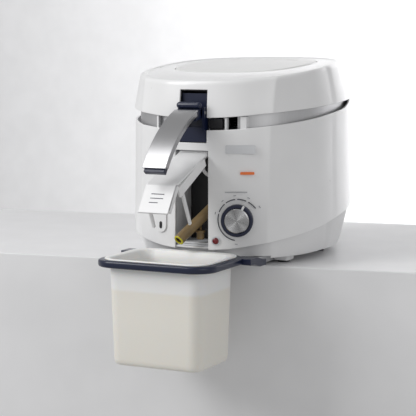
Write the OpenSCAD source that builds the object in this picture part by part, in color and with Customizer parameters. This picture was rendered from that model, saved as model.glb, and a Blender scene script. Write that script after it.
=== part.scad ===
// Compact deep fryer: oval body with a turning basket, a hinged lid, a fold-down basket handle,
// a front drain door with an oil hose, and an oil container hung in a pull-out frame.
// Origin: centre of the oval body, on the plane of the feet. X right, -Y front, Z up.

/* [Body] */
// Width of the oval body
body_w = 275; // [270:1:280]
// Depth of the oval body, without the rear housing
body_d = 318; // [314:1:322]
// Thickness of the outer plastic walls
wall = 3; // [2.5:0.5:3.5]
// Height of the lid's rim at the middle of its length
rim_z = 258; // [255:1:261]

/* [Bowl and basket] */
// Outer radius of the oil bowl
bowl_r = 97; // [94:1:99]
// Depth of the oil bowl
bowl_h = 92; // [88:1:94]
// Outer radius of the basket
basket_r = 81; // [78:1:83]
// Height of the basket
basket_h = 56; // [50:1:60]

/* [Handle, door and controls] */
// Width of the basket handle
handle_w = 33; // [30:1:35]
// Width of the drain door
door_w = 42; // [38:1:44]
// Outer diameter of the thermostat knob
knob_d = 41.5; // [38:0.5:43]
// Diameter of the indicator lamp's lens
lamp_d = 8.6; // [7:0.2:9]

/* [Oil container] */
// Width of the container's body at its top
tub_w = 135; // [130:1:137]
// Depth of the container's body at its top
tub_d = 101; // [96:1:103]
// Height of the container, from its floor to its flange
tub_h = 137; // [125:1:140]
// Bore of the oil hose
hose_bore = 9; // [7:0.5:10]

/* [Hidden] */

white = [0.93, 0.93, 0.93];
navy = [0.07, 0.09, 0.18];
steel = [0.72, 0.72, 0.74];
far = 400;                       // longer than any piece, for cuts

// Half axes of the oval plan, and its squareness
half_w = body_w / 2;
half_d = body_d / 2;
square_n = 2.5;
front = -half_d;

// Heights that follow the side view: y is the place from front to back
seam_z = function (y) 53 + 0.15 * y - 8 * exp(-(y - front) / 22);
body_top_z = function (y) min(195.7 + 0.098 * y - 3.7 * exp(-(y - front) / 30)
    + (y > 20 ? 0.0024 * pow(y - 20, 2) : 0), lid_bottom_z(y) - 0.8);
lid_bottom_z = function (y) 207.6 + 0.058 * y - 6.4 * exp(-(y - front) / 25);
deck_z = function (y) 184 + tan(tilt) * y;

// Tilted frame of the bowl, basket and drive: they lean forward so that oil runs to the front
tilt = 6;
bowl_y = 12;
deck_t = 3;
module tilted() translate([0, bowl_y, deck_z(bowl_y) + deck_t]) rotate([tilt, 0, 0]) children();
bowl_t = 1.5;
bowl_floor = -bowl_h + bowl_t;

// Drain opening at the front
opening_left = -25;
opening_right = 23;
opening_top = 150;
compartment_back_y = -112;

// Handle, seen from the side: an arc about handle_arc, pivoting at handle_pivot
handle_x = 1;
handle_arc = [-115, 35];
handle_arc_r = 179;
handle_from = 110;
handle_to = 146;
handle_pivot = [-160, 199];
rail_y = -125;
cap_t = 2.5;
arm_t = 7;

// Drain door, seen from the side, open as it hangs at rest
door_pivot = [-150, 147];
door_knee = [-243, 111];
door_tip = [-264, 79];
door_t = 3;
flange_h = 12;

// Panel places that follow the oval front: x and the wall's direction there
knob_x = 61.4;
knob_z = 62;
lamp_x = 33.7;
lamp_z = 34;
badge_x = 64;
badge_z = 152.5;
emblem_x = 72.5;
emblem_z = 122;
front_y = function (x, inset = 0) -(half_d - inset)
    * pow(1 - pow(abs(x) / (half_w - inset), square_n), 1 / square_n);
front_turn = function (x) atan2(front_y(x + 1) - front_y(x - 1), 2);

// Climb of the lid's rim towards the rear, and the foot of the base
lid_rise = 0.085;
lid_bow = 0.00015;
base_low = 10;

// Lid hinge at the rear
hinge_y = half_d + 7;
hinge_z = 217;
hinge_pin_r = 3;
knuckle_r = 7;

// Screws in the base
screw_r = 1.75;

// Half width of the cord store, and the bore of the cord inlet
cord_store_w = 36;
gland_bore_r = 3.2;

// Container and its frame
tub_y = -217;
tub_top = 20;
tub_wall = 1.6;
flange_w = 6.5;
frame_z = 9;
frame_h = 8.9;
guide_z = 4;
arm_h = 7;

// Drive: gear teeth
gear_module = 1.5;
gear_teeth = 45;
pinion_teeth = 15;
gear_gap = gear_module * (gear_teeth + pinion_teeth) / 2 + 0.2;
spindle_r = 4;
run = 0.06;                      // running clearance of a shaft in its hole

// Route of the oil hose, from its mouth to the drain outlet
hose_route = [[-8, -181, 35], [-5, -173, 41], [1, -162, 50], [8, -148, 61], [15, -132, 73],
    [20, -116, 82], [22, -100.6, 86]];
hose_r = 7;
outlet_end = [22, -100, 86.2];
outlet_fall = 12;

function sgn(v) = v < 0 ? -1 : 1;
function oval(a, b, n = 72) = [for (i = [0:n - 1]) let (t = 360 * i / n, c = cos(t), s = sin(t))
    [a * sgn(c) * pow(abs(c), 2 / square_n), b * sgn(s) * pow(abs(s), 2 / square_n)]];
function body_oval(inset) = oval(half_w - inset, half_d - inset);
// Corner points of an arc of radius r about c
function arc(c, r, from, to, n = 12) = [for (i = [0:n]) let (t = from + (to - from) * i / n)
    c + r * [cos(t), sin(t)]];

// A closed ring wall between two insets of the body's oval
module oval_wall(outer, inner, z0, z1) translate([0, 0, z0]) linear_extrude(z1 - z0) difference() {
    polygon(body_oval(outer));
    polygon(body_oval(inner));
}
module oval_slab(inset, z0, z1) translate([0, 0, z0]) linear_extrude(z1 - z0)
    polygon(body_oval(inset));
// A prism across the whole width, from an outline in the side view (y, z)
module side_prism(points, w = far) rotate([90, 0, 90]) linear_extrude(w, center = true)
    polygon(points);
// Everything under or over a side-view height
side_steps = [-208:16:208];
module under(f) side_prism(concat([for (y = side_steps) [y, f(y)]], [[208, -50], [-208, -50]]));
module over(f) side_prism(concat([for (y = side_steps) [y, f(y)]], [[208, far], [-208, far]]));
module block(low, high) translate(low) cube(high - low);
// A rounded rectangle, a cylinder lying along X, and a panel piece set on the curved front
module round_rect(w, d, r) hull() for (x = [-1, 1], y = [-1, 1])
    translate([x * (w / 2 - r), y * (d / 2 - r)]) circle(r, $fn = 32);
module along_x(r, x0, x1, y, z) translate([x0, y, z]) rotate([0, 90, 0])
    cylinder(r = r, h = x1 - x0, $fn = 48);
module on_front(x, z, out = 0) translate([x, front_y(x), z]) rotate([90, 0, front_turn(x)])
    translate([0, 0, out]) children();

// Ring of the plan: insets at the front and the rear, and a height that climbs and bows to the rear
ring_sides = 64;
function plan_ring(front_in, rear_in, z, climb = 0, bow = 0) = [for (i = [0:ring_sides - 1])
    let (t = 360 * i / ring_sides, c = cos(t), s = sin(t),
        inset = front_in + (rear_in - front_in) * (1 + s) / 2,
        x = (half_w - inset) * sgn(c) * pow(abs(c), 2 / square_n),
        y = (half_d - inset) * sgn(s) * pow(abs(s), 2 / square_n))
    [x, y, z + climb * y - bow * y * y]];
// Closed solid through a list of rings of equal length
module loft(rings) {
    n = len(rings[0]);
    last = len(rings) - 1;
    polyhedron(
        points = [for (ring = rings) each ring],
        faces = concat(
            [[for (i = [0:n - 1]) i]],
            [for (k = [0:last - 1], i = [0:n - 1])
                [k * n + i, (k + 1) * n + i, (k + 1) * n + (i + 1) % n, k * n + (i + 1) % n]],
            [[for (i = [n - 1:-1:0]) last * n + i]]));
}

// ---- outer shells ----

module body_shell() color(white) difference() {
    intersection() {
        oval_wall(0, wall, 10, 225);
        under(body_top_z);
        over(seam_z);
    }
    block([opening_left, front - 5, 10], [opening_right, front + 30, opening_top]);
    block([handle_x - 20, front - 5, 160], [handle_x + 20, front + 30, 230]);
    on_front(knob_x, knob_z, -20) cylinder(r = 5, h = 40, $fn = 48);
    on_front(lamp_x, lamp_z, -20) cylinder(r = lamp_d / 2 + 0.7, h = 40, $fn = 48);
}

module front_posts() color(white) {
    for (post = [[-55, 3], [45, 2.5], [66.5, 7]])
        intersection() {
            difference() {
                oval_slab(wall, 160, 215);
                oval_slab(9, 150, 225);
            }
            block([post.x - post.y / 2, front - 5, 165], [post.x + post.y / 2, front + 60, 212]);
            under(function (y) lid_bottom_z(y) - 0.6);
            over(function (y) max(body_top_z(y) - 8, deck_z(y) + deck_t + 0.1));
        }
}

module collar() color([0.8, 0.8, 0.81]) difference() {
    intersection() {
        oval_wall(9, 11.5, 150, 225);
        over(function (y) deck_z(y) + deck_t);
        under(function (y) lid_bottom_z(y) + 4);
    }
    block([handle_x - 20, front - 5, 150], [handle_x + 20, front + 40, 230]);
    block([22.3, front - 5, 178], [42.3, front + 40, 191.5]);
    block([47, front - 5, 182], [61, front + 50, 191]);
}

module top_deck() color([0.85, 0.85, 0.86]) difference() {
    intersection() {
        oval_slab(wall, 140, 240);
        over(deck_z);
        under(function (y) deck_z(y) + deck_t);
    }
    tilted() translate([0, 0, -30]) cylinder(r = bowl_r + 0.5, h = 60, $fn = 96);
    block([handle_x - 21, front - 5, 150], [handle_x + 21, front + 55, 230]);
}

// Lower shell: draws in towards its foot, more at the rear, with a slot for the frame at the front
module base_form(skin, z_low) loft([plan_ring(10 + skin, 19 + skin, z_low),
    plan_ring(7 + skin, 14 + skin, 22), plan_ring(4 + skin, 7 + skin, 48),
    plan_ring(2 + skin, 2 + skin, 68), plan_ring(2 + skin, 2 + skin, 95)]);
module base_shell() color([0.88, 0.88, 0.89]) difference() {
    union() {
        intersection() {
            difference() {
                base_form(0, base_low);
                base_form(wall, base_low - 1);
            }
            under(function (y) seam_z(y) - 0.4);
        }
        oval_slab(13, 12, 15);
        for (x = [-1, 1], y = [-71, 48])
            block([x * 92 - 10, y - 12, 3], [x * 92 + 10, y + 12, 15]);
        translate([0, 0, 22]) linear_extrude(3) difference() {
            polygon(body_oval(9));
            polygon(body_oval(16));
        }
    }
    block([-101, front - 5, -1], [101, -84, 12]);
    for (x = [-60, 60], y = [-20, 105])
        translate([x, y, 0]) cylinder(r = screw_r, h = 40, $fn = 32);
}

// Row of small vents along the sill of the drain opening
module base_grille() color([0.8, 0.8, 0.8]) difference() {
    block([opening_left + 0.5, front + 6, 25.2], [opening_right - 0.5, front + 42, 27.4]);
    for (i = [-5:5])
        block([i * 4 - 1.2, front + 7.5, 24], [i * 4 + 0.6, front + 13, 29]);
}

module feet() color([0.75, 0.75, 0.76]) for (x = [-92, 92], y = [-71, 48])
    translate([x, y, 0]) cylinder(r = 8, h = 3, $fn = 48);

module tray_guides() color([0.7, 0.7, 0.72]) for (x = [-1, 1])
    difference() {
        block([x * 73 - 8, -128, guide_z - 1.5], [x * 73 + 8, -40, 12]);
        block([x * 73 - 6.3, -140, guide_z - 0.3], [x * 73 + 6.3, -43, guide_z + arm_h + 0.3]);
        block([x * 73 - 4, -140, 0], [x * 73 + 4, -43, guide_z]);
    }

module base_screws() color(steel) for (x = [-60, 60], y = [-20, 105])
    translate([x, y, 10]) union() {
        cylinder(r = 3.5, h = 2, $fn = 32);
        cylinder(r = screw_r, h = 11, $fn = 32);
    }

module rear_housing() color(white) difference() {
    union() {
        intersection() {
            translate([0, half_d - 5, 20]) linear_extrude(187) round_rect(130, 60, 12);
            difference() {
                block([-70, half_d - 30, 20], [70, half_d + 26, 207]);
                oval_slab(-0.3, 0, far);
            }
        }
        for (x = [-1, 1])
            difference() {
                union() {
                    along_x(knuckle_r, x * 54 - 6, x * 54 + 6, hinge_y, hinge_z);
                    block([x * 54 - 6, hinge_y - 5, 200], [x * 54 + 6, hinge_y + 7, hinge_z]);
                }
                along_x(hinge_pin_r, x * 54 - 8, x * 54 + 8, hinge_y, hinge_z);
            }
    }
    block([-cord_store_w, half_d + 12, 60], [cord_store_w, half_d + 40, 150]);
    block([-61, half_d - 40, 24], [61, half_d + 8, 203]);
    translate([50, half_d + 5, 40]) rotate([-90, 0, 0]) cylinder(r = 5, h = 30, $fn = 48);
}

module cord_gland() color([0.15, 0.15, 0.16]) translate([50, half_d + 14.4, 40]) rotate([-90, 0, 0])
    difference() {
        union() {
            cylinder(r = 4.9, h = 12, $fn = 48);
            translate([0, 0, 11.8]) cylinder(r = 7, h = 3, $fn = 48);
        }
        translate([0, 0, 4.8]) cylinder(r = gland_bore_r, h = 20, $fn = 48);
    }

module hinge_pin() color(steel) along_x(hinge_pin_r, -60, 60, hinge_y, hinge_z);

// ---- drain compartment behind the door ----

module compartment_wall() color([0.7, 0.71, 0.73]) difference() {
    block([opening_left - 2, front + 6, 28], [36, compartment_back_y, 158]);
    block([opening_left, front - 5, 30], [opening_right, -139, 156]);
    block([opening_left, -140, 30], [34, compartment_back_y + 5, 156]);
    block([opening_right + 2, front - 5, 20], [40, -142, 160]);
    along_x(1.5, opening_left - 1.5, opening_right + 1.5, door_pivot.x, door_pivot.y);
}

module compartment_back() color([0.05, 0.05, 0.06]) difference() {
    block([opening_left - 2, compartment_back_y + 0.2, 28], [36, compartment_back_y + 2.2, 158]);
    translate([20.8, compartment_back_y - 5, 83.6]) rotate([-90, 0, 0])
        cylinder(r = hose_r + 2.5, h = 20, $fn = 48);
}

// Curved holder at the upper right of the compartment, where the hose is clipped when stowed
module hose_hook() color(white) translate([opening_right, -141, 131]) rotate([90, 0, 0])
    linear_extrude(5) difference() {
        circle(17, $fn = 64);
        circle(12, $fn = 64);
        translate([-0.2, -20]) square([20, 40]);
    }

module hook_ring() color([0.06, 0.06, 0.07]) translate([opening_right, -141, 131])
    rotate([90, 0, 0]) linear_extrude(4) difference() {
        circle(11.8, $fn = 64);
        circle(7.5, $fn = 64);
        translate([-0.2, -20]) square([20, 40]);
    }

// Round boss with a slot in the left pillar that takes the door's finger
module door_catch() color(white) difference() {
    intersection() {
        on_front(-47, 50, -6) linear_extrude(12) union() {
            circle(9, $fn = 64);
            translate([-9, 0]) square([18, 24]);
        }
        oval_wall(-1.6, 0, 30, 90);
    }
    on_front(-47, 50, -2) translate([-1.5, -4, 0]) cube([3, 8, 8]);
}

// Pins of the drain door and of the handle
module front_pins() color(steel) union() {
    along_x(1.5, opening_left - 1.5, opening_right + 1.5, door_pivot.x, door_pivot.y);
    along_x(2, handle_x - 19, handle_x + 19, handle_pivot.x, handle_pivot.y);
}

// ---- bowl, heat and drive ----

module bowl() color([0.3, 0.3, 0.31]) tilted() difference() {
    union() {
        translate([0, 0, -bowl_h]) cylinder(r = bowl_r, h = bowl_h + 2, $fn = 96);
        translate([0, 0, 0.1]) cylinder(r = bowl_r + 5, h = 1.9, $fn = 96);
    }
    translate([0, 0, bowl_floor]) cylinder(r = bowl_r - bowl_t, h = bowl_h + 10, $fn = 96);
    translate([0, 0, -bowl_h - 5]) cylinder(r = 8, h = 20, $fn = 48);
    translate([outlet_end.x, -bowl_r - 5, bowl_floor + 4.2]) rotate([-90, 0, 0])
        cylinder(r = 4, h = 30, $fn = 48);
}

module heater() color([0.35, 0.33, 0.32]) tilted() translate([0, 0, -bowl_h - 4.2])
    rotate_extrude($fn = 96) translate([66, 0]) circle(4, $fn = 32);

module drain_outlet() color([0.6, 0.58, 0.5]) difference() {
    union() {
        translate([outlet_end.x, outlet_end.y, outlet_end.z]) rotate([-90 + outlet_fall, 0, 0])
            cylinder(r = 6, h = 30, $fn = 48);
        translate([outlet_end.x, outlet_end.y, outlet_end.z]) rotate([-90 + outlet_fall, 0, 0])
            translate([0, 0, 9]) cylinder(r = 7.2, h = 2, $fn = 48);
    }
    translate([outlet_end.x, outlet_end.y, outlet_end.z]) rotate([-90 + outlet_fall, 0, 0])
        translate([0, 0, -5]) cylinder(r = 4, h = 50, $fn = 48);
    tilted() translate([0, 0, -bowl_h - 5]) cylinder(r = bowl_r, h = bowl_h, $fn = 96);
}

module shaft_seal() color([0.6, 0.2, 0.15]) tilted() translate([0, 0, -bowl_h - 8]) difference() {
    union() {
        cylinder(r = 7.9, h = 14, $fn = 48);
        cylinder(r = 11, h = 7.8, $fn = 48);
    }
    translate([0, 0, -1]) cylinder(r = spindle_r + run, h = 40, $fn = 48);
}

// Teeth on a disc: trapezoids around a blank, with room to run
module gear_shape(teeth, turn = 0) {
    pitch_r = gear_module * teeth / 2;
    circle(pitch_r - 1.3 * gear_module, $fn = 96);
    for (i = [0:teeth - 1])
        rotate(360 * i / teeth + turn) translate([pitch_r, 0])
            polygon([[-1.6 * gear_module, -0.8 * gear_module], [0.8 * gear_module, -0.3 * gear_module],
                [0.8 * gear_module, 0.3 * gear_module], [-1.6 * gear_module, 0.8 * gear_module]]);
}

module drive_gear() color([0.85, 0.8, 0.7]) tilted() translate([0, 0, -bowl_h - 18])
    difference() {
        union() {
            linear_extrude(7) gear_shape(gear_teeth, 2);
            cylinder(r = 9, h = 8.5, $fn = 48);
        }
        translate([0, 0, -1]) cylinder(r = spindle_r, h = 20, $fn = 48);
    }

module drive_spindle() color(steel) tilted() union() {
    translate([0, 0, -bowl_h - 19]) cylinder(r = spindle_r, h = 45, $fn = 48);
    translate([0, 0, -bowl_h + 25.9]) cylinder(r = 3.2, h = 10, $fn = 6);
}

module motor_pinion() color([0.8, 0.8, 0.75]) tilted() translate([0, gear_gap, -bowl_h - 18.5])
    difference() {
        linear_extrude(8) rotate(90) gear_shape(pinion_teeth);
        translate([0, 0, -1]) cylinder(r = 2 + run, h = 12, $fn = 48);
    }

module motor() color([0.55, 0.56, 0.58]) tilted() translate([0, gear_gap, -bowl_h - 22]) union() {
    translate([0, 0, -38]) cylinder(r = 22, h = 38, $fn = 64);
    cylinder(r = 2, h = 13, $fn = 32);
}

// ---- controls on the right of the front ----

module thermostat() color([0.85, 0.85, 0.82]) on_front(knob_x, knob_z, -28) difference() {
    cylinder(r = 12, h = 20, $fn = 48);
    translate([0, 0, 12]) cylinder(r = 3 + run, h = 20, $fn = 48);
}

module lamp_bezel() color([0.9, 0.9, 0.9]) on_front(lamp_x, lamp_z, -8) difference() {
    union() {
        cylinder(r = lamp_d / 2 + 0.6, h = 8.4, $fn = 48);
        translate([0, 0, 8.2]) cylinder(r = lamp_d / 2 + 1.6, h = 0.8, $fn = 48);
    }
    translate([0, 0, 2]) cylinder(r = lamp_d / 2, h = 20, $fn = 48);
}

module lamp_lens() color([0.45, 0.03, 0.06]) on_front(lamp_x, lamp_z, -5.8) union() {
    cylinder(r = lamp_d / 2 - 0.05, h = 5.8, $fn = 48);
    translate([0, 0, 5.8]) intersection() {
        translate([0, 0, -4.2]) sphere(r = 6, $fn = 48);
        cylinder(r = lamp_d / 2 - 0.05, h = 3, $fn = 48);
    }
}

// Raised scale around the knob: five arc strokes of increasing heat
scale_gap = 5;
scale_ends = [267, 163, 130, 96, 65, 33];
scale_r = 26.6;
module scale_stroke(from, to) polygon(concat(arc([0, 0], scale_r + 0.6, from, to),
    arc([0, 0], scale_r - 0.6, to, from)));
module dial_scale() color([0.05, 0.05, 0.08]) intersection() {
    on_front(knob_x, knob_z, -8) linear_extrude(12)
        for (i = [0:len(scale_ends) - 2])
            scale_stroke(scale_ends[i] - scale_gap, scale_ends[i + 1] + 1);
    oval_wall(-0.5, 0, 20, 110);
}

module badge_plate() color(white) intersection() {
    on_front(badge_x, badge_z, -6) linear_extrude(12) round_rect(38, 11, 1.5);
    oval_wall(-1, 0, 130, 180);
}

module emblem() color([0.9, 0.35, 0.12]) intersection() {
    on_front(emblem_x, emblem_z, -6) linear_extrude(12) round_rect(18, 3.5, 1);
    oval_wall(-0.5, 0, 100, 150);
}

module knob_ring() color(navy) on_front(knob_x, knob_z, 2.4) difference() {
    cylinder(r = knob_d / 2, h = 11, $fn = 96);
    translate([0, 0, 7]) cylinder(r = 16, h = 10, $fn = 96);
    translate([0, 0, -1]) cylinder(r = 3, h = 20, $fn = 48);
}

module knob_disc() color(steel) on_front(knob_x, knob_z, 9.6) difference() {
    cylinder(r = 15.9, h = 5.4, $fn = 96);
    translate([0, 0, -1]) cylinder(r = 3.2, h = 4, $fn = 48);
}

module knob_shaft() color(steel) on_front(knob_x, knob_z, -15) cylinder(r = 3, h = 26, $fn = 48);

// ---- lid release and basket lift at the front ----

module catch_housing() color([0.05, 0.05, 0.06]) difference() {
    block([21.5, -143, 175.5], [44, -135.5, 194]);
    block([23, -144, 177], [42.5, -137, 192.5]);
}

module release_button() color([0.12, 0.12, 0.14]) union() {
    block([23, -155, 178.6], [41.6, -149.8, 190.8]);
    block([28, -149.9, 181], [36, -140.5, 188]);
}

module handle_bracket() color(navy) difference() {
    union() {
        block([handle_x - 19, front + 1, 161], [handle_x + 19, -134, 180]);
        block([handle_x - 19, -150, 179], [handle_x + 19, -134, 224]);
        block([handle_x - 12, -136, 161], [handle_x + 12, -118, 165]);
        block([handle_x - 12, -136, 221], [handle_x + 12, -128, 223.5]);
        for (x = [-1, 1])
            difference() {
                block([handle_x + x * 17.4 - 1.6, -163, 176], [handle_x + x * 17.4 + 1.6, -134, 206]);
                along_x(2, handle_x + x * 17.4 - 3, handle_x + x * 17.4 + 3,
                    handle_pivot.x, handle_pivot.y);
            }
    }
    block([handle_x - 9, -144, 165], [handle_x + 9, -128, 221]);
}

module lift_rails() color(steel) for (x = [-6, 6])
    translate([x + handle_x, rail_y, 165]) rotate([tilt, 0, 0]) cylinder(r = 1.5, h = 56.2, $fn = 32);

// ---- lid ----

module lid_form() loft([plan_ring(0, 0, 180), plan_ring(0, 1, 206, 0.05),
    plan_ring(4, 16, rim_z - 6, lid_rise, lid_bow), plan_ring(6.5, 20, rim_z - 2, lid_rise, lid_bow),
    plan_ring(12, 25, rim_z, lid_rise, lid_bow)]);
module lid_shell() color(white) difference() {
    lid_form();
    loft([plan_ring(3, 3, 170), plan_ring(3, 4, 206, 0.05),
        plan_ring(7, 19, rim_z - 8, lid_rise, lid_bow), plan_ring(14, 28, rim_z - 4, lid_rise, lid_bow)]);
    under(lid_bottom_z);
    block([handle_x - 20, front - 5, 150], [handle_x + 20, -140, 228]);
    translate([0, 8, 200]) linear_extrude(100) polygon(oval(92, 98, 48));
}

module lid_hinge_arms() color(white) for (x = [-34, 34])
    difference() {
        union() {
            along_x(knuckle_r - 0.5, x - 12, x + 12, hinge_y, hinge_z);
            block([x - 12, hinge_y - 20, hinge_z], [x + 12, hinge_y, hinge_z + 6.5]);
        }
        along_x(hinge_pin_r + run, x - 14, x + 14, hinge_y, hinge_z);
        lid_form();
    }

module lid_liner() color([0.75, 0.75, 0.76]) difference() {
    intersection() {
        oval_slab(10, 200, 280);
        side_prism([[-141, 226], [150, 232], [150, 230], [-141, 224]]);
    }
    translate([0, 10, 200]) linear_extrude(100) polygon(oval(60, 60, 48));
    block([handle_x - 21, front - 5, 150], [handle_x + 21, -129, 235]);
}

module lid_gasket() color([0.25, 0.25, 0.26]) intersection() {
    translate([0, 12, 190]) difference() {
        cylinder(r = bowl_r + 6, h = 50, $fn = 96);
        translate([0, 0, -1]) cylinder(r = bowl_r + 1, h = 60, $fn = 96);
    }
    side_prism([[-141, 223.8], [150, 229.8], [150, 226.8], [-141, 220.8]]);
}

module lid_hook() color(white) union() {
    block([27, -132.8, 180], [35, -130.5, 223]);
    block([24, -133, 222.6], [38, -124, 224]);
}

// Tray in the lid that holds the filter, with slots for the steam
module filter_tray() color([0.8, 0.8, 0.8]) difference() {
    translate([0, 8, 200]) linear_extrude(100) polygon(oval(91.5, 97.5, 48));
    side_prism([[-120, 200], [120, 200], [120, 234.5], [-120, 227.8]]);
    side_prism([[-120, 400], [120, 400], [120, 260.6], [-120, 241.6]]);
    difference() {
        translate([0, 8, 200]) linear_extrude(100) polygon(oval(89.5, 95.5, 48));
        side_prism([[-120, 200], [120, 200], [120, 237], [-120, 230]]);
    }
    for (i = [-4:4])
        block([i * 9 - 2, -30, 200], [i * 9 + 2, 50, 300]);
}

module filter_pad() color([0.2, 0.2, 0.21]) intersection() {
    translate([0, 10, 200]) linear_extrude(100) polygon(oval(80, 84, 48));
    side_prism([[-80, 238], [100, 250], [100, 239], [-80, 233]]);
}

// Oval cover over the filter: follows the slope of the lid and stands a little proud
module filter_cover() color([0.9, 0.9, 0.9]) difference() {
    intersection() {
        translate([0, 8, 200]) linear_extrude(100) polygon(oval(91.5, 97.5, 48));
        side_prism(concat([[-95, rim_z - 14], [110, rim_z + 2.5]],
            [for (y = [110:-20:-95]) [y, rim_z + lid_rise * y + 2.5 - 3.5 * pow((y - 8) / 100, 2)]]));
    }
    for (i = [-3:3])
        translate([i * 15, 78 - i * i * 1.2, 200]) linear_extrude(100) round_rect(9, 5, 2.4);
}

// ---- handle ----

module handle_layer(r0, r1, w, from, to) translate([handle_x, 0, 0])
    side_prism(concat(arc(handle_arc, r0, from, to, 16), arc(handle_arc, r1, to, from, 16)), w);

module handle_arm() color(navy) difference() {
    union() {
        handle_layer(handle_arc_r - cap_t - arm_t, handle_arc_r - cap_t, handle_w - 3,
            handle_from, handle_to - 1);
        handle_layer(handle_arc_r - cap_t - arm_t - 3, handle_arc_r - cap_t - arm_t + 0.5,
            handle_w - 12, handle_from + 14, handle_to - 2);
        translate([handle_x, 0, 0]) side_prism([[-178, 188], [-160, 192.5], [-155, 199], [-160, 204],
            [-176, 203]], 30);
        along_x(6.5, handle_x - 15, handle_x + 15, handle_pivot.x, handle_pivot.y);
    }
    along_x(2 + run, handle_x - 20, handle_x + 20, handle_pivot.x, handle_pivot.y);
}

module handle_cap() color(steel) union() {
    handle_layer(handle_arc_r - cap_t, handle_arc_r, handle_w, handle_from, handle_to);
    for (x = [-1, 1])
        translate([x * (handle_w / 2 - 0.75), 0, 0])
            handle_layer(handle_arc_r - cap_t - 5, handle_arc_r - cap_t + 0.1, 1.5,
                handle_from + 1, handle_to - 1);
}

module handle_bar() color(navy) union() {
    along_x(4.2, handle_x - 14, handle_x + 13, -167.5, 208.4);
    for (x = [handle_x - 14, handle_x + 13])
        translate([x, -167.5, 208.4]) sphere(4.2, $fn = 32);
}

module lift_carriage() color([0.2, 0.2, 0.22]) difference() {
    union() {
        block([handle_x - 8.5, -132.5, 179], [handle_x + 8.5, -120, 192]);
        block([handle_x - 6, -121, 186], [handle_x + 6, -79, 190]);
    }
    for (x = [-6, 6])
        translate([x + handle_x, rail_y, 165]) rotate([tilt, 0, 0])
            cylinder(r = 1.5 + run, h = 80, $fn = 32);
}

// ---- basket ----

basket_top = -20;
basket_rim = 4;
wire_r = 1.8;
// Wire ring under the basket's rim, hung from the lift by a strip
module carrier_ring() color(steel) union() {
    tilted() translate([0, 0, basket_top - 2.2 - wire_r]) rotate_extrude($fn = 96)
        translate([basket_r + 2.4, 0]) circle(wire_r, $fn = 24);
    block([handle_x - 4, -79, 153.5], [handle_x + 4, -76.5, 190]);
    block([handle_x - 4, -79, 153.5], [handle_x + 4, -70.5, 156]);
}

module basket() color([0.65, 0.65, 0.66]) tilted() difference() {
    union() {
        translate([0, 0, basket_top - basket_h]) cylinder(r = basket_r, h = basket_h, $fn = 96);
        translate([0, 0, basket_top - 2]) cylinder(r = basket_r + basket_rim, h = 2, $fn = 96);
    }
    translate([0, 0, basket_top - basket_h + 1.5])
        cylinder(r = basket_r - 1.5, h = basket_h, $fn = 96);
    translate([0, 0, basket_top - basket_h - 1]) cylinder(r = 14, h = 5, $fn = 48);
}

module basket_hub() color([0.2, 0.2, 0.22]) tilted() translate([0, 0, basket_top - basket_h])
    difference() {
        union() {
            cylinder(r = 13.9, h = 2, $fn = 48);
            cylinder(r = 10, h = 26, $fn = 48);
        }
        translate([0, 0, -1]) cylinder(r = 4.2, h = 13, $fn = 48);
        translate([0, 0, 11.9]) cylinder(r = 3.6, h = 12, $fn = 6);
    }

// ---- drain door and hose ----

module door_line(a, b, t0, t1, w) {
    along = (b - a) / norm(b - a);
    across = [along.y, -along.x];
    side_prism([a + across * t0, b + across * t0, b + across * t1, a + across * t1], w);
}
module drain_door() color(white) difference() {
    union() {
        door_line(door_pivot, door_knee, -1.5, 1.5, door_w);
        door_line(door_knee + [0.8, 0.8], door_tip, -1.5, 1.5, door_w);
        for (x = [-1, 1])
            translate([x * (door_w / 2 - 1.5), 0, 0]) union() {
                door_line(door_pivot + [-14, -5.4], door_knee + [8, -4], -flange_h, 1, 3);
                door_line(door_knee + [3, 3], door_tip + [2, 4], -flange_h + 4, 1, 3);
            }
        along_x(3.5, -door_w / 2, door_w / 2, door_pivot.x, door_pivot.y);
    }
    along_x(1.5 + run, -far / 2, far / 2, door_pivot.x, door_pivot.y);
}

module door_fingers() color(white) {
    for (finger = [[17.2, [[-228, 112], [-222, 114], [-195, 60], [-199, 58]]],
            [-17.2, [[-251, 95], [-246, 98], [-227, 58], [-231, 56]]]])
        translate([finger[0], 0, 0]) side_prism(finger[1], 3.2);
}

// Tube swept along a route with a ring of points at each station
hose_sides = 12;
function unit(v) = v / norm(v);
function heading(p, i) = unit(p[min(i + 1, len(p) - 1)] - p[max(i - 1, 0)]);
function hose_ring(p, i, r) = let (h = heading(p, i), s = unit(cross(h, [0, 0, 1])), u = cross(s, h))
    [for (k = [0:hose_sides - 1]) let (a = 360 * k / hose_sides) p[i] + r * (cos(a) * s + sin(a) * u)];
module drain_hose() color([0.55, 0.42, 0.22])
    loft([for (i = [0:len(hose_route) - 1]) hose_ring(hose_route, len(hose_route) - 1 - i, hose_r)]);

// Stopper that plugs the hose, hanging on its strap under the hose
module hose_stopper() color([0.6, 0.45, 0.25]) union() {
    translate([8, -150, 34]) cylinder(r = 5, h = 9, $fn = 48);
    translate([8, -150, 42.9]) cylinder(r = 6.5, h = 2.5, $fn = 48);
    block([7.2, -151, 45.2], [8.8, -148, 51.5]);
}

// ---- container and its frame ----

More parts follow.
